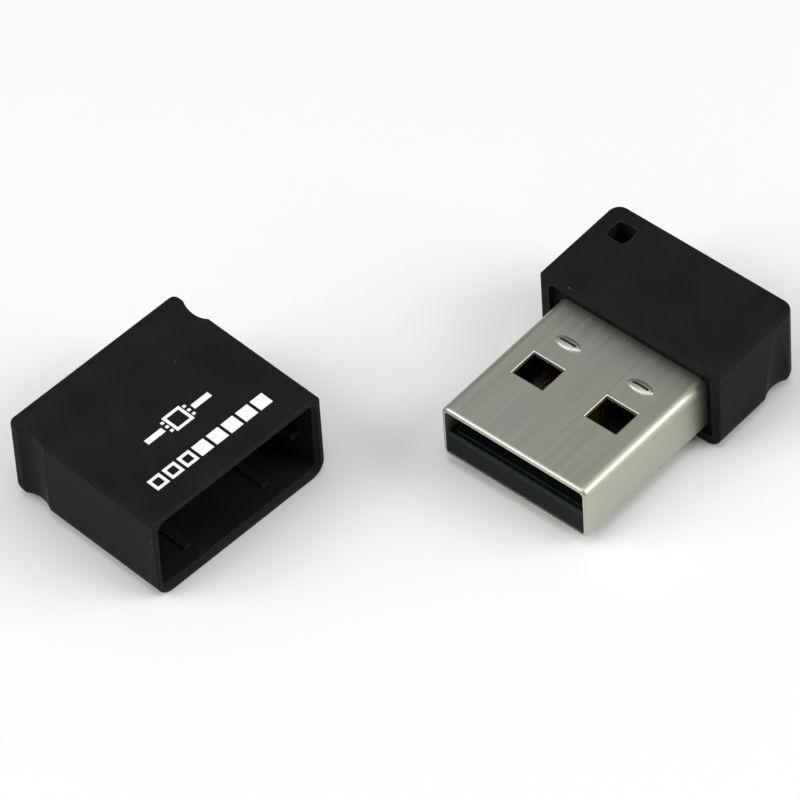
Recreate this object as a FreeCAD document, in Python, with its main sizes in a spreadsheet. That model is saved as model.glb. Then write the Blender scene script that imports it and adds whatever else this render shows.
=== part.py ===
import FreeCAD, Part
import os

import Sketcher

from FreeCAD import Rotation, Vector

# A very short USB drive with a loose cap lying beside it.
# X runs across the drive, Y from the plug (-Y) to the tail (+Y), Z up from the table.
# The origin is on the table, under the middle of the straight stretch of the grip.

doc = FreeCAD.newDocument("UsbDrive")

# ---------------------------------------------------------------- sizes, in mm
sizes = [
    ("gripLength", 7.85, "grip, rim to tail"),
    ("topRadius", 0.35, "long edges of the top face"),
    ("bottomRadius", 1.2, "long edges of the underside"),
    ("tailCorner", 0.9, "upright corners at the tail of the grip"),
    ("neckLength", 2.4, "hollow round grip and cap, along Y"),
    ("neckDepth", 0.3, "depth of that hollow"),
    ("neckClear", 0.05, "neck bar to the top face of the grip, which it leaves alone"),
    ("flangeLength", 0.85, "end flange behind the hollow"),
    ("edgeSoftening", 0.12, "rounding of moulded rims"),
    ("gripWall", 0.7, "wall of the cup round the plug"),
    ("cupCorner", 0.5, "inner corners of the cup"),
    ("holderSetback", 0.4, "rim of the grip to the face of the holder"),
    ("eyeSize", 1.6, "side of the square lanyard eye"),
    ("eyeCorner", 0.4, "corner radius of the eye"),
    ("eyeSide", 2.05, "side face of the grip to the middle of the eye"),
    ("eyeTail", 2.0, "tail face to the middle of the eye"),
    ("eyeWall", 0.9, "eye to the bottom of the cup"),
    ("plugWidth", 12.0, "plug shell, across"),
    ("plugHeight", 4.5, "plug shell, height"),
    ("plugUnder", 0.8, "table to the underside of the shell"),
    ("plugOver", 1.8, "shell to the top face of grip and cap"),
    ("plugBeside", 1.4, "shell to each side face of grip and cap"),
    ("plugSheet", 0.3, "sheet thickness of the shell"),
    ("plugCorner", 0.6, "outer corner radius of the shell"),
    ("plugExposed", 11.6, "shell in front of the grip"),
    ("cupBack", 0.05, "shell to the bottom of the cup"),
    ("plugLip", 0.25, "rounding of the front edge of the shell"),
    ("windowWidth", 2.55, "latch window, across"),
    ("windowLength", 2.2, "latch window, along"),
    ("windowInner", 1.75, "plug middle to the near side of a window"),
    ("windowStart", 5.05, "plug tip to a window"),
    ("windowRoll", 0.08, "rolled outer edge of a window"),
    ("lanceSide", 3.0, "plug middle to a lance"),
    ("lanceStart", 9.1, "plug tip to the slit of a lance"),
    ("lanceWidth", 2.0, "lance, across"),
    ("lanceLength", 0.95, "lance, along"),
    ("lanceRise", 0.17, "height of the lance lips"),
    ("lanceSlit", 0.2, "slit between the lips"),
    ("slitWidth", 1.3, "slit, across"),
    ("seamGap", 0.06, "butt seam under the shell"),
    ("insertGap", 0.05, "carrier to shell, each side"),
    ("carrierSetback", 0.12, "plug tip to the carrier's face"),
    ("carrierHeight", 1.85, "carrier and module, over the shell floor"),
    ("carrierFloor", 0.45, "tray floor of the carrier"),
    ("carrierSide", 0.4, "side rail of the carrier"),
    ("carrierLip", 0.5, "front lip of the carrier"),
    ("carrierBevel", 0.12, "bevel on top of the lip"),
    ("moduleGap", 0.04, "module to carrier, each side"),
    ("boardThickness", 0.35, "laminate of the module"),
    ("padThickness", 0.05, "contact pad"),
    ("padWidth", 1.2, "contact pad, across"),
    ("outerPadLength", 7.4, "power and ground pads, along"),
    ("innerPadLength", 6.4, "data pads, along"),
    ("padEnd", 9.2, "plug tip to the back end of all pads"),
    ("outerPadSide", 3.5, "plug middle to the power and ground pads"),
    ("innerPadSide", 1.0, "plug middle to the data pads"),
    ("flashWidth", 7.2, "memory die, across"),
    ("flashLength", 6.6, "memory die, along"),
    ("flashThickness", 0.18, "memory die"),
    ("flashStart", 2.2, "plug tip to the memory dies"),
    ("filmThickness", 0.04, "bonding film between the dies"),
    ("controllerSize", 2.4, "side of the controller die"),
    ("controllerThickness", 0.25, "controller die"),
    ("controllerStart", 10.4, "plug tip to the controller die"),
    ("chipLength", 1.0, "ceramic chip part, long side"),
    ("chipWidth", 0.5, "ceramic chip part, short side"),
    ("capacitorHeight", 0.5, "capacitor"),
    ("resistorHeight", 0.35, "resistor"),
    ("chipSide", 3.3, "plug middle to a column of chip parts"),
    ("chipPitch", 1.15, "one chip part to the next"),
    ("capLength", 13.3, "cap, mouth to closed end"),
    ("capWall", 0.6, "wall of the cap"),
    ("capEndWall", 1.1, "closed end of the cap"),
    ("capCorner", 0.5, "upright corners at the closed end"),
    ("mouthBevel", 0.3, "lead-in bevel inside the mouth of the cap"),
    ("ribWidth", 0.5, "grip rib inside the cap"),
    ("ribGap", 0.05, "rib to plug shell"),
    ("ribSetback", 1.5, "mouth of the cap to the ribs"),
    ("ribSide", 3.5, "plug middle to a floor or roof rib"),
    ("partingHeight", 2.95, "table to the mould line"),
    ("partingGroove", 0.05, "width and depth of the mould line"),
    ("capTurn", 94.2, "turn of the loose cap, degrees"),
    ("capAside", 18.65, "drive's middle to the loose cap's middle, across"),
    ("capAhead", 12.15, "plug tip to the loose cap's middle, forwards"),
    ("printThickness", 0.03, "ink film on the cap"),
    ("printLine", 0.22, "line of the print"),
    ("cellSize", 1.05, "side of a printed cell"),
    ("cellPitch", 1.3, "one printed cell to the next"),
    ("cellBack", 2.4, "mouth of the cap to the row of cells"),
    ("chipSign", 1.5, "side of the printed chip sign"),
    ("signBack", 5.3, "mouth of the cap to the chip sign"),
    ("barLength", 1.5, "printed bar"),
]

sheet = doc.addObject("Spreadsheet::Sheet", "Sizes")
for row, (alias, value, note) in enumerate(sizes, start=1):
    sheet.set(f"A{row}", note)
    sheet.set(f"B{row}", str(value))
    sheet.setAlias(f"B{row}", alias)
doc.recompute()


def size(alias):
    return float(sheet.get(alias))


def valueOf(expression):
    """The number that an expression on the sheet stands for."""
    return float(sheet.evalExpression(expression.replace("Sizes.", "")))


# Lengths, stations along Y and levels along Z that several pieces share, as expressions.
rimY = "(-(Sizes.gripLength - Sizes.neckLength - Sizes.flangeLength) / 2)"
tipY = f"({rimY} - Sizes.plugExposed)"
tailY = f"({rimY} + Sizes.gripLength)"
cupDepth = "(Sizes.gripLength - Sizes.eyeTail - Sizes.eyeSize / 2 - Sizes.eyeWall)"
plugLength = f"(Sizes.plugExposed + {cupDepth} - Sizes.cupBack)"
plugTopZ = "(Sizes.plugUnder + Sizes.plugHeight)"
plugFloorZ = "(Sizes.plugUnder + Sizes.plugSheet)"
gripWidth = "(Sizes.plugWidth + 2 * Sizes.plugBeside)"
gripHeight = "(Sizes.plugUnder + Sizes.plugHeight + Sizes.plugOver)"
cupWidth = f"({gripWidth} - 2 * Sizes.gripWall)"
cupHeight = f"({gripHeight} - 2 * Sizes.gripWall)"
cavityWidth = f"({gripWidth} - 2 * Sizes.capWall)"
cavityHeight = f"({gripHeight} - 2 * Sizes.capWall)"
moduleTopZ = f"({plugFloorZ} + Sizes.carrierHeight - Sizes.padThickness)"
boardUnderZ = f"({moduleTopZ} - Sizes.boardThickness)"
moduleWidth = ("(Sizes.plugWidth - 2 * (Sizes.plugSheet + Sizes.insertGap"
               " + Sizes.carrierSide + Sizes.moduleGap))")
moduleY = f"({tipY} + Sizes.carrierSetback + Sizes.carrierLip + Sizes.moduleGap)"
moduleLength = (f"({plugLength} - Sizes.carrierSetback - Sizes.carrierLip"
                " - 2 * Sizes.moduleGap - Sizes.insertGap)")
neckRadius = ("((Sizes.neckLength * Sizes.neckLength / 4 + Sizes.neckDepth * Sizes.neckDepth)"
              " / (2 * Sizes.neckDepth))")
neckReach = f"({neckRadius} - Sizes.neckDepth)"
clearReach = f"({neckRadius} + Sizes.neckClear)"


# ---------------------------------------------------------------- helpers
tiny = 1e-4   # mm, for telling edges apart


def bind(item, **expressions):
    for prop, expression in expressions.items():
        item.setExpression(prop.replace("__", "."), expression)
    return item


def place(item, x, y, z):
    return bind(item, Placement__Base__x=x, Placement__Base__y=y, Placement__Base__z=z)


def newBody(name):
    body = doc.addObject("PartDesign::Body", name)
    body.Label = name
    return body


def bodyBox(body, kind, name, across, along, high, x, y, z):
    """A box in a body; x is the middle, y and z are the low faces."""
    box = body.newObject(f"PartDesign::{kind}Box", name)
    bind(box, Length=across, Width=along, Height=high)
    place(box, f"({x}) - ({across}) / 2", y, z)
    doc.recompute()
    return box


def plainBox(name, across, along, high, x, y, z):
    box = doc.addObject("Part::Box", name)
    box.Label = name
    bind(box, Length=across, Width=along, Height=high)
    place(box, f"({x}) - ({across}) / 2", y, z)
    return box


def edgesWhere(feature, test):
    names = []
    for index, edge in enumerate(feature.Shape.Edges, start=1):
        if test(edge.BoundBox):
            names.append(f"Edge{index}")
    return names


def roundEdges(body, base, name, test, radius):
    names = edgesWhere(base, test)
    if not names:
        raise RuntimeError(f"{name}: no edge to round")
    fillet = body.newObject("PartDesign::Fillet", name)
    fillet.Base = (base, names)
    bind(fillet, Radius=radius)
    doc.recompute()
    return fillet


def runsAlong(box, axis):
    """True for a straight edge that lies along one axis (0, 1 or 2)."""
    spans = [box.XLength, box.YLength, box.ZLength]
    return spans[axis] > tiny and sum(spans) - spans[axis] < tiny


def originPlane(body, role):
    return [item for item in body.Origin.OriginFeatures if item.Role == role][0]


def newSketch(body, name, role):
    sketch = body.newObject("Sketcher::SketchObject", name)
    sketch.AttachmentSupport = [(originPlane(body, role), "")]
    sketch.MapMode = "FlatFace"
    return sketch


def dimension(sketch, name, constraint, expression):
    index = sketch.addConstraint(constraint)
    sketch.renameConstraint(index, name)
    sketch.setExpression(f"Constraints.{name}", expression)


def ringPath(body, name, station, topReach):
    """The neck bar's path round the outline of grip or cap, across Y at a station.

    topReach is how far the bar's middle runs above the top face; below the underside it is
    neckReach.
    """
    sketch = newSketch(body, name, "XZ_Plane")
    bind(sketch, AttachmentOffset__Base__z=f"-({station})")
    reach = valueOf(neckReach)
    half = valueOf(gripWidth) / 2 + reach
    low, high = -reach, valueOf(gripHeight) + reach
    radius = size("bottomRadius") + reach
    right, left, upper, lower = half - radius, radius - half, high - radius, low + radius
    turns = [(right, lower, 270), (right, upper, 0), (left, upper, 90), (left, lower, 180)]
    runs = [((left, low), (right, low)), ((half, lower), (half, upper)),
            ((right, high), (left, high)), ((-half, upper), (-half, lower))]
    for (start, end), (x, y, angle) in zip(runs, turns):
        sketch.addGeometry(Part.LineSegment(Vector(*start, 0), Vector(*end, 0)), False)
        circle = Part.Circle(Vector(x, y, 0), Vector(0, 0, 1), radius)
        span = [FreeCAD.Units.Quantity(f"{degrees} deg").getValueAs("rad").Value
                for degrees in (angle, angle + 90)]
        sketch.addGeometry(Part.ArcOfCircle(circle, *span), False)
    pathEdges = sketch.GeometryCount
    for index in range(pathEdges):
        following = (index + 1) % pathEdges
        sketch.addConstraint(Sketcher.Constraint("Tangent", index, 2, following, 1))
    bottomRun, rightRun, topRun, leftRun = range(0, pathEdges, 2)
    lowRightTurn, topRightTurn, topLeftTurn, lowLeftTurn = range(1, pathEdges, 2)
    for run in (bottomRun, topRun):
        sketch.addConstraint(Sketcher.Constraint("Horizontal", run))
    sketch.addConstraint(Sketcher.Constraint("Equal", lowRightTurn, lowLeftTurn))
    sketch.addConstraint(Sketcher.Constraint("Equal", topRightTurn, topLeftTurn))
    lowSide, highSide = (f"{gripWidth} / 2 + {reach}" for reach in (neckReach, topReach))
    dimension(sketch, "lowRight", Sketcher.Constraint("DistanceX", -1, 1, rightRun, 1, half), lowSide)
    dimension(sketch, "highRight", Sketcher.Constraint("DistanceX", -1, 1, rightRun, 2, half), highSide)
    dimension(sketch, "highLeft", Sketcher.Constraint("DistanceX", leftRun, 1, -1, 1, half), highSide)
    dimension(sketch, "lowLeft", Sketcher.Constraint("DistanceX", leftRun, 2, -1, 1, half), lowSide)
    dimension(sketch, "above", Sketcher.Constraint("DistanceY", -1, 1, topRun, 1, high),
              f"{gripHeight} + {topReach}")
    dimension(sketch, "below", Sketcher.Constraint("DistanceY", bottomRun, 1, -1, 1, -low), neckReach)
    dimension(sketch, "lowTurn", Sketcher.Constraint("Radius", lowRightTurn, radius),
              f"Sizes.bottomRadius + {neckReach}")
    dimension(sketch, "highTurn", Sketcher.Constraint("Radius", topRightTurn, radius),
              f"Sizes.topRadius + {neckReach}")
    return sketch


def cutNeck(body, name, station, topReach):
    """Cut the hollow: a round bar, bent along the path, that just bites the surface."""
    path = ringPath(body, name + "Path", station, topReach)
    bar = newSketch(body, name + "Bar", "YZ_Plane")
    level = valueOf(gripHeight) + valueOf(topReach)
    bar.addGeometry(Part.Circle(Vector(0, level, 0), Vector(0, 0, 1), valueOf(neckRadius)), False)
    dimension(bar, "level", Sketcher.Constraint("DistanceY", -1, 1, 0, 3, level),
              f"{gripHeight} + {topReach}")
    bar.addConstraint(Sketcher.Constraint("PointOnObject", 0, 3, -2))
    dimension(bar, "thickness", Sketcher.Constraint("Radius", 0, valueOf(neckRadius)), neckRadius)
    bind(bar, AttachmentOffset__Base__x=station)
    doc.recompute()
    pipe = body.newObject("PartDesign::SubtractivePipe", name)
    pipe.Profile = bar
    pipe.Spine = (path, [f"Edge{index}" for index in range(1, path.GeometryCount + 1)])
    doc.recompute()
    return pipe


def mouldedBlock(body, name, length, startY, cornerY, cornerRadius):
    """The outer block of grip or cap: upright corners at one end, then the long edges."""
    block = bodyBox(body, "Additive", name, gripWidth, length, gripHeight,
                    "0", startY, "0")
    corners = roundEdges(body, block, name + "Corners",
                         lambda box: runsAlong(box, 2) and cornerY(box.Center.y), cornerRadius)
    lowEdges = roundEdges(body, corners, name + "Underside",
                          lambda box: box.ZMax < tiny and box.YLength > 2 * box.XLength,
                          "Sizes.bottomRadius")
    return roundEdges(body, lowEdges, name + "Top",
                      lambda box: box.ZMin > valueOf(gripHeight) - tiny
                      and box.YLength > 2 * box.XLength,
                      "Sizes.topRadius")


# ---------------------------------------------------------------- grip
def makeHousing():
    """The moulded grip: a cup for the plug, the neck, the end flange and the lanyard eye."""
    body = newBody("housing")
    mouldedBlock(body, "gripBlock", "Sizes.gripLength", rimY, lambda y: y > 0, "Sizes.tailCorner")
    cutNeck(body, "gripNeck", f"{tailY} - Sizes.flangeLength - Sizes.neckLength / 2", clearReach)
    eye = bodyBox(body, "Subtractive", "gripEye", "Sizes.eyeSize", "Sizes.eyeSize",
                  gripHeight, f"Sizes.eyeSide - {gripWidth} / 2",
                  f"{tailY} - Sizes.eyeTail - Sizes.eyeSize / 2", "0")
    tailStart = valueOf(tailY) - size("tailCorner") - tiny
    eyeX = size("eyeSide") - valueOf(gripWidth) / 2
    eyeRound = roundEdges(body, eye, "gripEyeCorners",
                          lambda box: runsAlong(box, 2) and abs(box.Center.x - eyeX) < size("eyeSize")
                          and box.ZLength > valueOf(gripHeight) / 2 and box.Center.y < tailStart,
                          "Sizes.eyeCorner")
    rim = roundEdges(body, eyeRound, "gripRim",
                     lambda box: abs(box.YMin - valueOf(rimY)) < tiny and box.YLength < tiny
                     and box.XLength > valueOf(gripWidth) / 2, "Sizes.edgeSoftening")
    cup = bodyBox(body, "Subtractive", "gripCup", cupWidth,
                  cupDepth, cupHeight, "0", rimY, "Sizes.gripWall")
    roundEdges(body, cup, "gripCupCorners",
               lambda box: runsAlong(box, 1) and box.YMin < valueOf(rimY) + tiny
               and abs(abs(box.Center.x) - valueOf(cupWidth) / 2) < tiny
               and box.ZMin > size("gripWall") - tiny, "Sizes.cupCorner")
    return rim


def makeHolder():
    """The frame pressed into the cup, which grips the plug shell."""
    body = newBody("plug_holder")
    length = f"({cupDepth} - Sizes.holderSetback)"
    front = f"{rimY} + Sizes.holderSetback"
    frame = bodyBox(body, "Additive", "holderFrame", cupWidth, length,
                    cupHeight, "0", front, "Sizes.gripWall")
    roundEdges(body, frame, "holderCorners", lambda box: runsAlong(box, 1), "Sizes.cupCorner")
    pocket = bodyBox(body, "Subtractive", "holderPocket", "Sizes.plugWidth", length,
                     "Sizes.plugHeight", "0", front, "Sizes.plugUnder")
    roundEdges(body, pocket, "holderPocketCorners",
               lambda box: runsAlong(box, 1)
               and abs(abs(box.Center.x) - size("plugWidth") / 2) < tiny, "Sizes.plugCorner")


# ---------------------------------------------------------------- plug
def makePlugShell():
    """The folded steel shell: windows above and below, two lances and a butt seam."""
    body = newBody("plug_shell")
    tube = bodyBox(body, "Additive", "shellBlank", "Sizes.plugWidth", plugLength,
                   "Sizes.plugHeight", "0", tipY, "Sizes.plugUnder")
    roundEdges(body, tube, "shellBends", lambda box: runsAlong(box, 1), "Sizes.plugCorner")
    for side, name in ((-1, "left"), (1, "right")):
        lip = body.newObject("PartDesign::AdditiveEllipsoid", name + "Lance")
        bind(lip, Radius1="Sizes.lanceRise", Radius2="Sizes.lanceWidth / 2",
             Radius3="Sizes.lanceLength / 2")
        place(lip, f"{side} * Sizes.lanceSide", f"{tipY} + Sizes.lanceStart", plugTopZ)
        doc.recompute()
        bodyBox(body, "Subtractive", name + "Slit", "Sizes.slitWidth", "Sizes.lanceSlit",
                "Sizes.plugSheet + 2 * Sizes.lanceRise", f"{side} * Sizes.lanceSide",
                f"{tipY} + Sizes.lanceStart - Sizes.lanceSlit / 2", f"{plugTopZ} - Sizes.plugSheet")
    bore = bodyBox(body, "Subtractive", "shellBore", "Sizes.plugWidth - 2 * Sizes.plugSheet",
                   plugLength, "Sizes.plugHeight - 2 * Sizes.plugSheet", "0", tipY, plugFloorZ)
    inner = size("plugWidth") / 2 - size("plugSheet")
    folded = roundEdges(body, bore, "shellInnerBends",
                        lambda box: runsAlong(box, 1) and abs(abs(box.Center.x) - inner) < tiny,
                        "Sizes.plugCorner - Sizes.plugSheet")
    roofZ = valueOf(plugTopZ) - size("plugSheet")
    roundEdges(body, folded, "shellLip",
               lambda box: box.YMax < valueOf(tipY) + tiny
               and (max(box.XMax, -box.XMin) > inner + tiny or box.ZMax > roofZ + tiny
                    or box.ZMin < valueOf(plugFloorZ) - tiny), "Sizes.plugLip")
    for side, name in ((-1, "left"), (1, "right")):
        pierced = bodyBox(body, "Subtractive", name + "Windows", "Sizes.windowWidth",
                          "Sizes.windowLength", "Sizes.plugHeight",
                          f"{side} * (Sizes.windowInner + Sizes.windowWidth / 2)",
                          f"{tipY} + Sizes.windowStart", "Sizes.plugUnder")
    nearX, farX = size("windowInner"), size("windowInner") + size("windowWidth")
    nearY = valueOf(tipY) + size("windowStart")
    farY = nearY + size("windowLength")
    roundEdges(body, pierced, "windowRolls",
               lambda box: box.ZLength < tiny
               and min(abs(box.ZMin - valueOf(plugTopZ)), abs(box.ZMin - size("plugUnder"))) < tiny
               and nearX - tiny < abs(box.Center.x) < farX + tiny
               and nearY - tiny < box.Center.y < farY + tiny, "Sizes.windowRoll")
    bodyBox(body, "Subtractive", "shellSeam", "Sizes.seamGap", plugLength,
            "Sizes.plugSheet", "0", tipY, "Sizes.plugUnder")


def makeCarrier():
    """The moulded tray in the shell, with a front lip as high as the module it holds."""
    body = newBody("carrier")
    width = "(Sizes.plugWidth - 2 * (Sizes.plugSheet + Sizes.insertGap))"
    length = f"({plugLength} - Sizes.carrierSetback)"
    block = bodyBox(body, "Additive", "carrierBlock", width, length,
                    "Sizes.carrierHeight", "0", f"{tipY} + Sizes.carrierSetback", plugFloorZ)
    lowEdges = roundEdges(body, block, "carrierUnderside",
                          lambda box: runsAlong(box, 1) and box.ZMax < valueOf(plugFloorZ) + tiny,
                          "Sizes.plugCorner - Sizes.plugSheet + Sizes.insertGap")
    bevel = body.newObject("PartDesign::Chamfer", "carrierBevel")
    frontY = valueOf(tipY) + size("carrierSetback")
    topZ = valueOf(plugFloorZ) + size("carrierHeight")
    bevel.Base = (lowEdges, edgesWhere(lowEdges, lambda box: box.YMax < frontY + tiny
                                       and box.ZMin > topZ - tiny))
    bind(bevel, Size="Sizes.carrierBevel")
    doc.recompute()
    bodyBox(body, "Subtractive", "carrierTray", f"{moduleWidth} + 2 * Sizes.moduleGap",
            f"{moduleLength} + 2 * Sizes.moduleGap + Sizes.insertGap", "Sizes.carrierHeight", "0",
            f"{moduleY} - Sizes.moduleGap", f"{plugFloorZ} + Sizes.carrierFloor")


# ---------------------------------------------------------------- memory module
def makeModule():
    """A laminate with contact pads on top; dies and chip parts hang under it in epoxy."""
    plainBox("module_board", moduleWidth, moduleLength, "Sizes.boardThickness",
             "0", moduleY, boardUnderZ)
    for name, side, length, across in (
            ("contact_power", -1, "outerPadLength", "outerPadSide"),
            ("contact_data_minus", -1, "innerPadLength", "innerPadSide"),
            ("contact_data_plus", 1, "innerPadLength", "innerPadSide"),
            ("contact_ground", 1, "outerPadLength", "outerPadSide")):
        plainBox(name, "Sizes.padWidth", f"Sizes.{length}", "Sizes.padThickness",
                 f"{side} * Sizes.{across}", f"{tipY} + Sizes.padEnd - Sizes.{length}", moduleTopZ)
    buried = []
    under = boardUnderZ
    stack = (("flash_die_upper", "flashThickness"), ("die_film", "filmThickness"),
             ("flash_die_lower", "flashThickness"))
    for name, thickness in stack:
        under = f"({under} - Sizes.{thickness})"
        buried.append(plainBox(name, "Sizes.flashWidth", "Sizes.flashLength", f"Sizes.{thickness}",
                               "0", f"{tipY} + Sizes.flashStart", under))
    buried.append(plainBox("controller_die", "Sizes.controllerSize", "Sizes.controllerSize",
                           "Sizes.controllerThickness", "0", f"{tipY} + Sizes.controllerStart",
                           f"{boardUnderZ} - Sizes.controllerThickness"))
    chips = [("capacitor", -1, row, row + 1) for row in range(3)]
    chips += [("capacitor", 1, 0, 4), ("resistor", 1, 1, 1), ("resistor", 1, 2, 2)]
    for kind, side, row, number in chips:
        buried.append(plainBox(f"{kind}_{number}", "Sizes.chipLength", "Sizes.chipWidth",
                               f"Sizes.{kind}Height", f"{side} * Sizes.chipSide",
                               f"{tipY} + Sizes.controllerStart + {row} * Sizes.chipPitch",
                               f"{boardUnderZ} - Sizes.{kind}Height"))
    block = plainBox("epoxyBlock", moduleWidth, moduleLength,
                     f"{boardUnderZ} - {plugFloorZ} - Sizes.carrierFloor - Sizes.moduleGap",
                     "0", moduleY, f"{plugFloorZ} + Sizes.carrierFloor + Sizes.moduleGap")
    pockets = doc.addObject("Part::Compound", "epoxyPockets")
    pockets.Links = buried
    epoxy = doc.addObject("Part::Cut", "module_epoxy")
    epoxy.Label = "module_epoxy"
    epoxy.Base = block
    epoxy.Tool = pockets


# ---------------------------------------------------------------- cap
def park(item):
    """Move a piece made in its closed place to where the loose cap lies beside the drive."""
    item.Placement.Rotation = Rotation(Vector(0, 0, 1), 360 - size("capTurn"))
    middle = f"({rimY} - Sizes.capLength / 2)"
    return bind(item, Placement__Rotation__Angle="360 - Sizes.capTurn",
                Placement__Base__x=f"-Sizes.capAside - {middle} * sin(Sizes.capTurn)",
                Placement__Base__y=f"{tipY} - Sizes.capAhead - {middle} * cos(Sizes.capTurn)")


def makeCap():
    """The cap, made as if on the plug, then parked."""
    body = newBody("cap")
    endY = f"({rimY} - Sizes.capLength)"
    mouldedBlock(body, "capBlock", "Sizes.capLength", endY,
                 lambda y: y < valueOf(endY) + tiny, "Sizes.capCorner")
    neck = cutNeck(body, "capNeck", f"{endY} + Sizes.flangeLength + Sizes.neckLength / 2", neckReach)
    roundEdges(body, neck, "capRim",
               lambda box: abs(box.YMin - valueOf(rimY)) < tiny and box.YLength < tiny,
               "Sizes.edgeSoftening")
    cavity = bodyBox(body, "Subtractive", "capCavity", cavityWidth,
                     "Sizes.capLength - Sizes.capEndWall", cavityHeight, "0",
                     f"{endY} + Sizes.capEndWall", "Sizes.capWall")
    innerHalf = valueOf(cavityWidth) / 2
    hollow = roundEdges(body, cavity, "capCavityCorners",
                        lambda box: runsAlong(box, 1) and box.YMax > valueOf(rimY) - tiny
                        and abs(abs(box.Center.x) - innerHalf) < tiny, "Sizes.cupCorner")
    bevel = body.newObject("PartDesign::Chamfer", "capMouthBevel")
    bevel.Base = (hollow, edgesWhere(hollow, lambda box: box.YMin > valueOf(rimY) - tiny
                                     and box.XMax < innerHalf + tiny and box.XMin > -innerHalf - tiny
                                     and box.ZMin > size("capWall") - tiny
                                     and box.ZMax < valueOf(cavityHeight) + size("capWall") + tiny))
    bind(bevel, Size="Sizes.mouthBevel")
    doc.recompute()
    ribLength = "(Sizes.capLength - Sizes.capEndWall - Sizes.ribSetback)"
    for side, name in ((-1, "left"), (1, "right")):
        bodyBox(body, "Additive", name + "FloorRib", "Sizes.ribWidth", ribLength,
                "Sizes.plugUnder - Sizes.ribGap - Sizes.capWall", f"{side} * Sizes.ribSide",
                f"{endY} + Sizes.capEndWall", "Sizes.capWall")
        bodyBox(body, "Additive", name + "RoofRib", "Sizes.ribWidth", ribLength,
                "Sizes.plugOver - Sizes.capWall - Sizes.ribGap",
                f"{side} * Sizes.ribSide", f"{endY} + Sizes.capEndWall", f"{plugTopZ} + Sizes.ribGap")
        wallRib = "(Sizes.plugBeside - Sizes.capWall - Sizes.ribGap)"
        bodyBox(body, "Additive", name + "WallRib", wallRib, ribLength, "Sizes.ribWidth",
                f"{side} * (Sizes.plugWidth / 2 + Sizes.ribGap + {wallRib} / 2)",
                f"{endY} + Sizes.capEndWall",
                "Sizes.plugUnder + (Sizes.plugHeight - Sizes.ribWidth) / 2")
        bodyBox(body, "Subtractive", name + "MouldLine", "Sizes.partingGroove",
                "Sizes.capLength - Sizes.flangeLength - Sizes.neckLength", "Sizes.partingGroove",
                f"{side} * ({gripWidth} - Sizes.partingGroove) / 2",
                f"{endY} + Sizes.flangeLength + Sizes.neckLength", "Sizes.partingHeight")
    park(body)


def makePrint():
    """A plain ink mark on the cap: a row of cells, and a chip sign between two bars."""
    film = "Sizes.printThickness"
    marks = []

    def solidMark(across, along, x, back):
        marks.append(plainBox(f"mark{len(marks)}", across, along, film, x,
                              f"{rimY} - {back} - ({along}) / 2", gripHeight))

    def hollowMark(across, along, x, back):
        parts = [plainBox(f"ring{len(marks)}{part}", f"{across} - 2 * {inset}",
                          f"{along} - 2 * {inset}", film, x,
                          f"{rimY} - {back} - ({along}) / 2 + {inset}", gripHeight)
                 for part, inset in (("Outer", "0"), ("Inner", "Sizes.printLine"))]
        ring = doc.addObject("Part::Cut", f"mark{len(marks)}")
        ring.Base, ring.Tool = parts
        marks.append(ring)

    cellCount, solidCells = 8, 5
    for cell in range(cellCount):
        draw = solidMark if cell < solidCells else hollowMark
        draw("Sizes.cellSize", "Sizes.cellSize",
             f"({cell} - {(cellCount - 1) / 2}) * Sizes.cellPitch", "Sizes.cellBack")
    hollowMark("Sizes.chipSign", "Sizes.chipSign", "0", "Sizes.signBack")
    for side in (-1, 1):
        for leg in (-1, 0, 1):
            solidMark("Sizes.printLine", "Sizes.printLine",
                      f"{side} * (Sizes.chipSign / 2 + Sizes.printLine)",
                      f"Sizes.signBack + {leg} * 2 * Sizes.printLine")
        solidMark("Sizes.barLength", "Sizes.printLine * 2",
                  f"{side} * (Sizes.chipSign / 2 + 2.5 * Sizes.printLine + Sizes.barLength / 2)",
                  "Sizes.signBack")
    mark = doc.addObject("Part::Compound", "cap_print")
    mark.Label = "cap_print"
    mark.Links = marks
    park(mark)


for maker in (makeHousing, makeHolder, makePlugShell, makeCarrier, makeModule, makeCap, makePrint):
    maker()
doc.recompute()

# ---------------------------------------------------------------- check and write
nodes = ["housing", "plug_holder", "plug_shell", "carrier", "module_board", "module_epoxy",
         "flash_die_upper", "die_film", "flash_die_lower", "controller_die",
         "contact_power", "contact_data_minus", "contact_data_plus", "contact_ground",
         "capacitor_1", "capacitor_2", "capacitor_3", "capacitor_4", "resistor_1", "resistor_2",
         "cap", "cap_print"]
for item in doc.Objects:
    if "Invalid" in item.State or "Error" in item.State:
        raise RuntimeError(f"{item.Label} is {item.State}")
os.makedirs("parts", exist_ok=True)
for name in nodes:
    shape = doc.getObjectsByLabel(name)[0].Shape
    if shape.isNull() or not shape.isValid() or shape.Volume <= 0:
        raise RuntimeError(f"{name} has no valid solid")
    shape.exportStep(f"parts/{name}.step")
    print(f"{name}: {len(shape.Solids)} solid(s), {shape.Volume:.3f} mm3")
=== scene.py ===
import math

import bpy
from mathutils import Matrix, Vector


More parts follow.
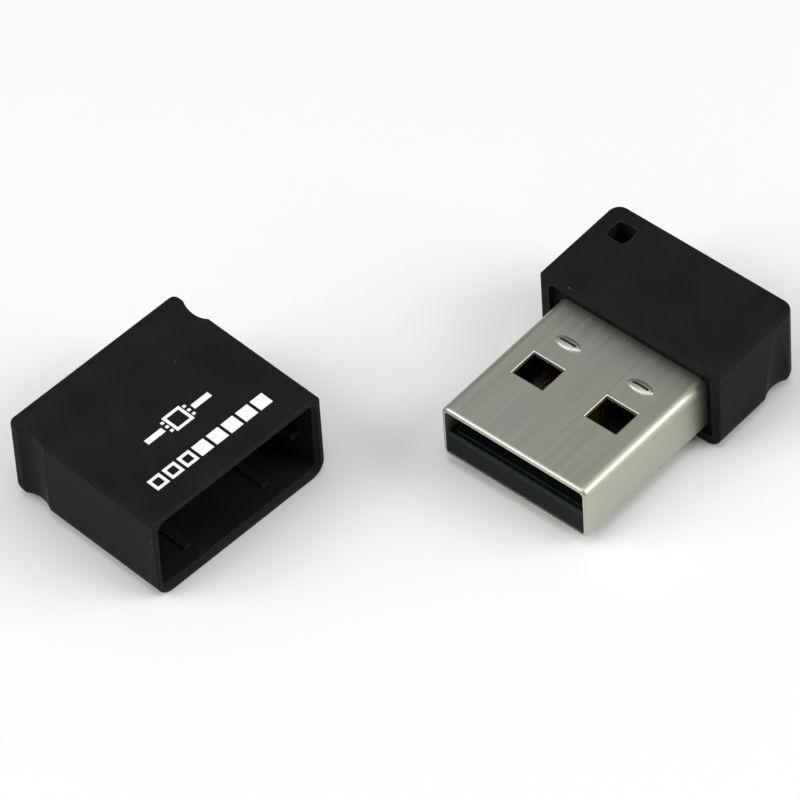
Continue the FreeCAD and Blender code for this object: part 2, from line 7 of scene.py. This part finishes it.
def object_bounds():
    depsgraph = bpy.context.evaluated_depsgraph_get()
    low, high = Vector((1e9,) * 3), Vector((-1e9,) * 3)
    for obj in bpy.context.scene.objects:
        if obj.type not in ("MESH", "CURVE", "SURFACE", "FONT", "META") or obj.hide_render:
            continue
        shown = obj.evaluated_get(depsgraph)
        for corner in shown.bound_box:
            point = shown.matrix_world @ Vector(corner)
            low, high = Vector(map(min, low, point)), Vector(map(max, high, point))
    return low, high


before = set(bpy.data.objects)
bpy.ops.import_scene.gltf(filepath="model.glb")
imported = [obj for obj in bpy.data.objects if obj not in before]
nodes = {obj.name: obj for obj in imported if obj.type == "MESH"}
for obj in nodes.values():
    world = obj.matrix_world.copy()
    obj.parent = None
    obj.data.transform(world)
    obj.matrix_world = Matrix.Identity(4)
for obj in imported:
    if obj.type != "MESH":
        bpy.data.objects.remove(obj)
cadLow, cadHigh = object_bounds()
mm = 0.001
scene = bpy.context.scene
print("frame loaded:", len(nodes), "CAD nodes")

# camera: a long lens from above the right of the plug
cameraView = {
    "azimuth": 43.53, "elevation": 48.31, "roll": 4.04,     # degrees
    "aim": (-9.887, -13.489, 2.8), "distance": 512.34,      # mm
    "lens": 360.0, "sensor": 36.0,                          # mm
    "clip": (0.01, 10.0),                                   # metres
}


def makeCamera(view):
    turn, rise = math.radians(view["azimuth"]), math.radians(view["elevation"])
    ahead = Vector((-math.sin(turn) * math.cos(rise), math.cos(turn) * math.cos(rise),
                    -math.sin(rise)))
    right = ahead.cross(Vector((0, 0, 1))).normalized()
    right.rotate(Matrix.Rotation(math.radians(view["roll"]), 3, ahead))
    up = right.cross(ahead)
    camera = bpy.data.objects.new("camera", bpy.data.cameras.new("camera"))
    camera.data.lens, camera.data.sensor_width = view["lens"], view["sensor"]
    camera.data.clip_start, camera.data.clip_end = view["clip"]
    place = Matrix((right, up, -ahead)).transposed().to_4x4()
    place.translation = Vector(view["aim"]) * mm - ahead * view["distance"] * mm
    camera.matrix_world = place
    scene.collection.objects.link(camera)
    scene.camera = camera


makeCamera(cameraView)

# studio: pale floor, two soft boxes, a third one overhead and a weak even sky
studio = {
    "floorSize": 4.0, "floorColour": (0.82, 0.82, 0.82), "floorRough": 0.7,   # metres
    "floorShine": 0.1,
    "skyColour": (1.0, 1.0, 1.0), "skyStrength": 0.25,
    "middle": (-9.4, -14.0, 3.0),                           # mm, what the lamps look at
    "lamps": {                                              # direction, distance m, size m, watts
        "frontLeft": ((-0.45, -0.65, 0.60), 0.50, 0.34, 1.5),
        "backRight": ((0.72, 0.42, 0.55), 0.50, 0.34, 1.5),
        "overhead": ((0.05, -0.05, 1.0), 0.60, 0.40, 1.4),
    },
}


def makeStudio(look):
    half = look["floorSize"] / 2
    floorMesh = bpy.data.meshes.new("floor")
    corners = [(-half, -half, 0), (half, -half, 0), (half, half, 0), (-half, half, 0)]
    floorMesh.from_pydata(corners, [], [(0, 1, 2, 3)])
    floor = bpy.data.objects.new("floor", floorMesh)
    floor.location.z = cadLow.z
    scene.collection.objects.link(floor)
    paper = bpy.data.materials.new("palePaper")
    paper.use_nodes = True
    skin = paper.node_tree.nodes["Principled BSDF"]
    skin.inputs["Base Color"].default_value = (*look["floorColour"], 1)
    skin.inputs["Roughness"].default_value = look["floorRough"]
    skin.inputs["Specular IOR Level"].default_value = look["floorShine"]
    floorMesh.materials.append(paper)
    sky = bpy.data.worlds.new("studioSky")
    scene.world = sky
    sky.use_nodes = True
    background = sky.node_tree.nodes["Background"]
    background.inputs["Color"].default_value = (*look["skyColour"], 1)
    background.inputs["Strength"].default_value = look["skyStrength"]
    middle = Vector(look["middle"]) * mm
    for name, (direction, distance, size, watts) in look["lamps"].items():
        lamp = bpy.data.objects.new(name, bpy.data.lights.new(name, "AREA"))
        lamp.data.shape, lamp.data.size, lamp.data.energy = "SQUARE", size, watts
        lamp.location = middle + Vector(direction).normalized() * distance
        lamp.rotation_euler = (lamp.location - middle).to_track_quat("Z", "Y").to_euler()
        scene.collection.objects.link(lamp)
    scene.view_settings.view_transform = "Standard"


makeStudio(studio)
print("camera, floor and lamps ready")


# shared effects, as node groups: every scale is in features per metre of the object
def newGroup(name, inputs, outputs):
    group = bpy.data.node_groups.new(name, "ShaderNodeTree")
    for label, value in inputs.items():
        kind = "NodeSocketColor" if isinstance(value, tuple) else "NodeSocketFloat"
        socket = group.interface.new_socket(label, in_out="INPUT", socket_type=kind)
        socket.default_value = (*value, 1) if isinstance(value, tuple) else value
    for label, kind in outputs.items():
        group.interface.new_socket(label, in_out="OUTPUT", socket_type="NodeSocket" + kind)
    return group, group.nodes.new("NodeGroupInput"), group.nodes.new("NodeGroupOutput")


def add(tree, kind, **settings):
    node = tree.nodes.new("ShaderNode" + kind)
    for key, value in settings.items():
        setattr(node, key, value)
    return node


def join(tree, source, target):
    tree.links.new(source, target)


def calculate(tree, operation, first, second, clamp=False):
    node = add(tree, "Math", operation=operation, use_clamp=clamp)
    for index, value in enumerate((first, second)):
        if isinstance(value, (int, float)):
            node.inputs[index].default_value = value
        elif value is not None:
            tree.links.new(value, node.inputs[index])
    return node.outputs[0]


def ramp(tree, source, low, high, lowValue=0.0, highValue=1.0):
    node = add(tree, "MapRange", clamp=True)
    tree.links.new(source, node.inputs["Value"])
    limits = {"From Min": low, "From Max": high, "To Min": lowValue, "To Max": highValue}
    for label, value in limits.items():
        if isinstance(value, (int, float)):
            node.inputs[label].default_value = value
        else:
            tree.links.new(value, node.inputs[label])
    return node.outputs["Result"]


def noise(tree, place, scale, detail=2.0, stretch=None):
    if stretch:
        mapping = add(tree, "Mapping")
        mapping.inputs["Scale"].default_value = stretch
        tree.links.new(place, mapping.inputs["Vector"])
        place = mapping.outputs["Vector"]
    node = add(tree, "TexNoise")
    node.inputs["Detail"].default_value = detail
    if isinstance(scale, (int, float)):
        node.inputs["Scale"].default_value = scale
    else:
        tree.links.new(scale, node.inputs["Scale"])
    tree.links.new(place, node.inputs["Vector"])
    return node.outputs["Fac"]


def blend(tree, factor, first, second):
    node = add(tree, "Mix", data_type="RGBA")
    tree.links.new(factor, node.inputs["Factor"])
    for label, value in (("A", first), ("B", second)):
        socket = [item for item in node.inputs if item.name == label and item.type == "RGBA"][0]
        if isinstance(value, tuple):
            socket.default_value = (*value, 1)
        else:
            tree.links.new(value, socket)
    return [item for item in node.outputs if item.type == "RGBA"][0]


patchRange = (0.35, 0.65)     # noise values where one patch turns into the next
toneRange = (0.3, 0.7)        # the same for the slow change of tone on steel
edgeCosines = (0.985, 0.85)   # rounded against true normal: untouched, full edge colour (real rubbing, and on the black plastics also a painted highlight)
lineStretch = (1.0, 0.03, 1.0)      # draws the noise out along the plug
toneScale = 150.0
fineShare, pitShare = 0.6, 0.4      # of the plastic's grain height
lineShare, satinShare = 0.5, 0.5    # of the steel's grain height


def makeGrain():
    # fine spark-eroded mould texture with slow cloudiness
    group, given, result = newGroup(
        "mouldGrain", {"Grain Scale": 9000.0, "Cloud Scale": 260.0},
        {"Height": "Float", "Clouds": "Float"})
    place = add(group, "TexCoord").outputs["Object"]
    fine = noise(group, place, given.outputs["Grain Scale"], 3.0)
    pits = add(group, "TexVoronoi")
    join(group, given.outputs["Grain Scale"], pits.inputs["Scale"])
    join(group, place, pits.inputs["Vector"])
    height = calculate(group, "ADD", calculate(group, "MULTIPLY", fine, fineShare),
                       calculate(group, "MULTIPLY", pits.outputs["Distance"], pitShare))
    join(group, height, result.inputs["Height"])
    join(group, ramp(group, noise(group, place, given.outputs["Cloud Scale"], 3.0), *patchRange),
         result.inputs["Clouds"])
    return group


def makeEdges():
    # how far a place takes the edge colour: near sharp edges, broken up by noise; the edge colour
    # is real rubbing, and on the black plastics also a painted highlight line
    group, given, result = newGroup(
        "edgeWearAndHighlight", {"Reach": 0.00015, "Breakup Scale": 1500.0, "Breakup": 0.5}, {"Worn": "Float"})
    place = add(group, "TexCoord").outputs["Object"]
    rounded = add(group, "Bevel", samples=4)
    join(group, given.outputs["Reach"], rounded.inputs["Radius"])
    flat = add(group, "NewGeometry")
    product = add(group, "VectorMath", operation="DOT_PRODUCT")
    join(group, rounded.outputs["Normal"], product.inputs[0])
    join(group, flat.outputs["Normal"], product.inputs[1])
    edge = ramp(group, product.outputs["Value"], *edgeCosines)
    patches = ramp(group, noise(group, place, given.outputs["Breakup Scale"], 3.0), *patchRange)
    kept = calculate(group, "SUBTRACT", 1.0, calculate(
        group, "MULTIPLY", given.outputs["Breakup"], patches))
    join(group, calculate(group, "MULTIPLY", edge, kept, clamp=True), result.inputs["Worn"])
    return group


def makeDust():
    # sparse specks of dust
    group, given, result = newGroup(
        "dustSpecks", {"Speck Scale": 1400.0, "Speck Size": 0.08, "Share": 0.25}, {"Dust": "Float"})
    place = add(group, "TexCoord").outputs["Object"]
    cells = add(group, "TexVoronoi")
    join(group, given.outputs["Speck Scale"], cells.inputs["Scale"])
    join(group, place, cells.inputs["Vector"])
    dot = calculate(group, "LESS_THAN", cells.outputs["Distance"], given.outputs["Speck Size"])
    chosen = add(group, "SeparateColor")
    join(group, cells.outputs["Color"], chosen.inputs["Color"])
    picked = calculate(group, "LESS_THAN", chosen.outputs["Red"], given.outputs["Share"])
    join(group, calculate(group, "MULTIPLY", dot, picked), result.inputs["Dust"])
    return group


def makeDrawLines():
    # rolling and insertion lines along the plug, with a fine satin grain
    group, given, result = newGroup(
        "drawLines", {"Line Scale": 5000.0, "Grain Scale": 16000.0},
        {"Lines": "Float", "Height": "Float", "Tone": "Float"})
    place = add(group, "TexCoord").outputs["Object"]
    lines = noise(group, place, given.outputs["Line Scale"], 3.0, stretch=lineStretch)
    grain = noise(group, place, given.outputs["Grain Scale"], 2.0)
    join(group, ramp(group, lines, *patchRange), result.inputs["Lines"])
    join(group, calculate(group, "ADD", calculate(group, "MULTIPLY", lines, lineShare),
                          calculate(group, "MULTIPLY", grain, satinShare)), result.inputs["Height"])
    join(group, ramp(group, noise(group, place, toneScale, 2.0), *toneRange), result.inputs["Tone"])
    return group


grainGroup, edgeGroup, dustGroup, lineGroup = makeGrain(), makeEdges(), makeDust(), makeDrawLines()


def useGroup(tree, group, **values):
    node = tree.nodes.new("ShaderNodeGroup")
    node.node_tree = group
    for key, value in values.items():
        words = "".join(" " + letter if letter.isupper() else letter for letter in key)
        label = words.title()
        node.inputs[label].default_value = value
    return node.outputs


def newMaterial(name, **fixed):
    material = bpy.data.materials.new(name)
    material.use_nodes = True
    tree = material.node_tree
    skin = tree.nodes["Principled BSDF"]
    for key, value in fixed.items():
        skin.inputs[key.replace("_", " ")].default_value = value
    return material, tree, skin


def bumpInto(tree, skin, height, strength, depth):
    bump = add(tree, "Bump")
    bump.inputs["Strength"].default_value = strength
    bump.inputs["Distance"].default_value = depth
    join(tree, height, bump.inputs["Height"])
    join(tree, bump.outputs["Normal"], skin.inputs["Normal"])


def dress(material, *names):
    for name in names:
        nodes[name].data.materials.clear()
        nodes[name].data.materials.append(material)


# moulded black plastic of grip and cap
shellLook = {
    "dark": (0.0104, 0.0104, 0.0106), "light": (0.0132, 0.0132, 0.0134),
    # the edge colour here is lighter than the body: real rubbing plus a painted highlight along the
    # sharp edges
    "worn": (0.040, 0.040, 0.041), "dust": (0.10, 0.10, 0.098),
    "roughLow": 0.37, "roughHigh": 0.47, "roughWearAndHighlight": 0.28, "shine": 0.025,
    "grainScale": 9000.0, "grainDepth": 0.000012, "grainStrength": 0.35,
    "edgeReach": 0.00016, "dustShare": 0.06,
}


def plastic(name, look):
    material, tree, skin = newMaterial(name, Specular_IOR_Level=look["shine"])
    grain = useGroup(tree, grainGroup, grainScale=look["grainScale"])
    worn = useGroup(tree, edgeGroup, reach=look["edgeReach"])["Worn"]
    dust = useGroup(tree, dustGroup, share=look["dustShare"])["Dust"]
    body = blend(tree, grain["Clouds"], look["dark"], look["light"])
    # lighter colour along sharp edges: real rubbing plus a painted highlight line
    wornAndHighlighted = blend(tree, worn, body, look["worn"])
    join(tree, blend(tree, dust, wornAndHighlighted, look["dust"]), skin.inputs["Base Color"])
    rough = ramp(tree, grain["Clouds"], 0.0, 1.0, look["roughLow"], look["roughHigh"])
    join(tree, ramp(tree, worn, 0.0, 1.0, rough, look["roughWearAndHighlight"]), skin.inputs["Roughness"])
    bumpInto(tree, skin, grain["Height"], look["grainStrength"], look["grainDepth"])
    return material


dress(plastic("shellPlastic", shellLook), "housing", "cap")
innerLook = {**shellLook, "dark": (0.006, 0.006, 0.006), "light": (0.009, 0.009, 0.009),
             "roughLow": 0.5, "roughHigh": 0.62}
dress(plastic("innerPlastic", innerLook), "plug_holder")
# the carrier's edge colour is far lighter than its body: a painted highlight line along its edges,
# with some real rubbing
carrierLook = {**shellLook, "dark": (0.0038, 0.0062, 0.0054), "light": (0.0052, 0.0082, 0.0070),
               "worn": (0.10, 0.125, 0.115), "roughLow": 0.38, "roughHigh": 0.46, "shine": 0.06,
               "edgeReach": 0.00013, "dustShare": 0.02}
dress(plastic("carrierPlastic", carrierLook), "carrier")

# nickel-plated steel of the plug
steelLook = {
    "cool": (0.50, 0.505, 0.465), "warm": (0.495, 0.495, 0.405), "worn": (0.74, 0.74, 0.70),
    "roughLow": 0.45, "roughHigh": 0.50, "lineDepth": 0.000003, "lineStrength": 0.18,
    "edgeReach": 0.00012,
}


steelBreakup = 0.3   # how much the noise breaks up the rubbed edges


def steel(name, look):
    material, tree, skin = newMaterial(name, Metallic=1.0)
    lines = useGroup(tree, lineGroup)
    worn = useGroup(tree, edgeGroup, reach=look["edgeReach"], breakup=steelBreakup)["Worn"]
    sheet = blend(tree, lines["Tone"], look["cool"], look["warm"])
    join(tree, blend(tree, worn, sheet, look["worn"]), skin.inputs["Base Color"])
    join(tree, ramp(tree, lines["Lines"], 0.0, 1.0, look["roughLow"], look["roughHigh"]),
         skin.inputs["Roughness"])
    bumpInto(tree, skin, lines["Height"], look["lineStrength"], look["lineDepth"])
    return material


dress(steel("plugSteel", steelLook), "plug_shell")
goldLook = {"cool": (0.72, 0.50, 0.20), "warm": (0.80, 0.56, 0.24), "worn": (0.88, 0.70, 0.40),
            "roughLow": 0.18, "roughHigh": 0.30, "lineDepth": 0.000003, "lineStrength": 0.25,
            "edgeReach": 0.00006}
dress(steel("goldPlate", goldLook), "contact_power", "contact_data_minus", "contact_data_plus",
      "contact_ground")

# parts of the memory module
# laminate and moulding get a lighter edge colour too: real rubbing plus a painted highlight line
laminateLook = {**shellLook, "dark": (0.0028, 0.0042, 0.0036), "light": (0.0040, 0.0062, 0.0052),
                "worn": (0.03, 0.036, 0.03), "roughLow": 0.36, "roughHigh": 0.44, "shine": 0.15,
                "grainScale": 5000.0, "dustShare": 0.03}
dress(plastic("laminate", laminateLook), "module_board")
epoxyLook = {**shellLook, "dark": (0.010, 0.010, 0.011), "light": (0.016, 0.016, 0.017),
             "worn": (0.04, 0.04, 0.04), "roughLow": 0.55, "roughHigh": 0.68, "grainScale": 14000.0}
dress(plastic("moulding", epoxyLook), "module_epoxy")
siliconLook = {"cool": (0.20, 0.19, 0.23), "warm": (0.26, 0.23, 0.22), "worn": (0.34, 0.33, 0.35),
               "roughLow": 0.10, "roughHigh": 0.18, "lineDepth": 0.000001, "lineStrength": 0.2,
               "edgeReach": 0.00004}
dress(steel("silicon", siliconLook), "flash_die_upper", "flash_die_lower", "controller_die")
filmLook = {**shellLook, "dark": (0.20, 0.11, 0.04), "light": (0.28, 0.16, 0.06),
            "worn": (0.32, 0.20, 0.09), "roughLow": 0.35, "roughHigh": 0.5, "shine": 0.5}
dress(plastic("bondFilm", filmLook), "die_film")

# chip parts: a ceramic body between two tinned ends
chipLooks = {
    "chipCeramic": {"body": (0.30, 0.19, 0.10), "speck": (0.36, 0.24, 0.14)},
    "chipResistor": {"body": (0.012, 0.012, 0.014), "speck": (0.03, 0.03, 0.034)},
}
chipSurface = {
    "end": 0.24,   # share of the length that each tinned end takes
    "tin": (0.62, 0.62, 0.60), "grainScale": 16000.0, "cloudScale": 5000.0,
    "roughLow": 0.38, "roughHigh": 0.52, "grainStrength": 0.3, "grainDepth": 0.000006,
}


def chip(name):
    look = {**chipSurface, **chipLooks[name]}
    material, tree, skin = newMaterial(name)
    grain = useGroup(tree, grainGroup, grainScale=look["grainScale"], cloudScale=look["cloudScale"])
    axes = add(tree, "SeparateXYZ")
    join(tree, add(tree, "TexCoord").outputs["Generated"], axes.inputs["Vector"])
    shifted = calculate(tree, "SUBTRACT", axes.outputs["X"], 0.5)
    fromMiddle = calculate(tree, "ABSOLUTE", shifted, None)
    tin = calculate(tree, "GREATER_THAN", fromMiddle, 0.5 - look["end"])
    body = blend(tree, grain["Clouds"], look["body"], look["speck"])
    join(tree, blend(tree, tin, body, look["tin"]), skin.inputs["Base Color"])
    join(tree, tin, skin.inputs["Metallic"])
    join(tree, ramp(tree, grain["Clouds"], 0.0, 1.0, look["roughLow"], look["roughHigh"]),
         skin.inputs["Roughness"])
    bumpInto(tree, skin, grain["Height"], look["grainStrength"], look["grainDepth"])
    return material


dress(chip("chipCeramic"), "capacitor_1", "capacitor_2", "capacitor_3", "capacitor_4")
dress(chip("chipResistor"), "resistor_1", "resistor_2")

# pad-printed ink
inkLook = {**shellLook, "dark": (0.78, 0.78, 0.77), "light": (0.86, 0.86, 0.85),
           "worn": (0.70, 0.70, 0.69), "dust": (0.45, 0.45, 0.44),
           "roughLow": 0.42, "roughHigh": 0.55, "shine": 0.35,
           "grainStrength": 0.2, "dustShare": 0.05, "edgeReach": 0.00003}
dress(plastic("whiteInk", inkLook), "cap_print")
print("materials ready:", len(bpy.data.materials))
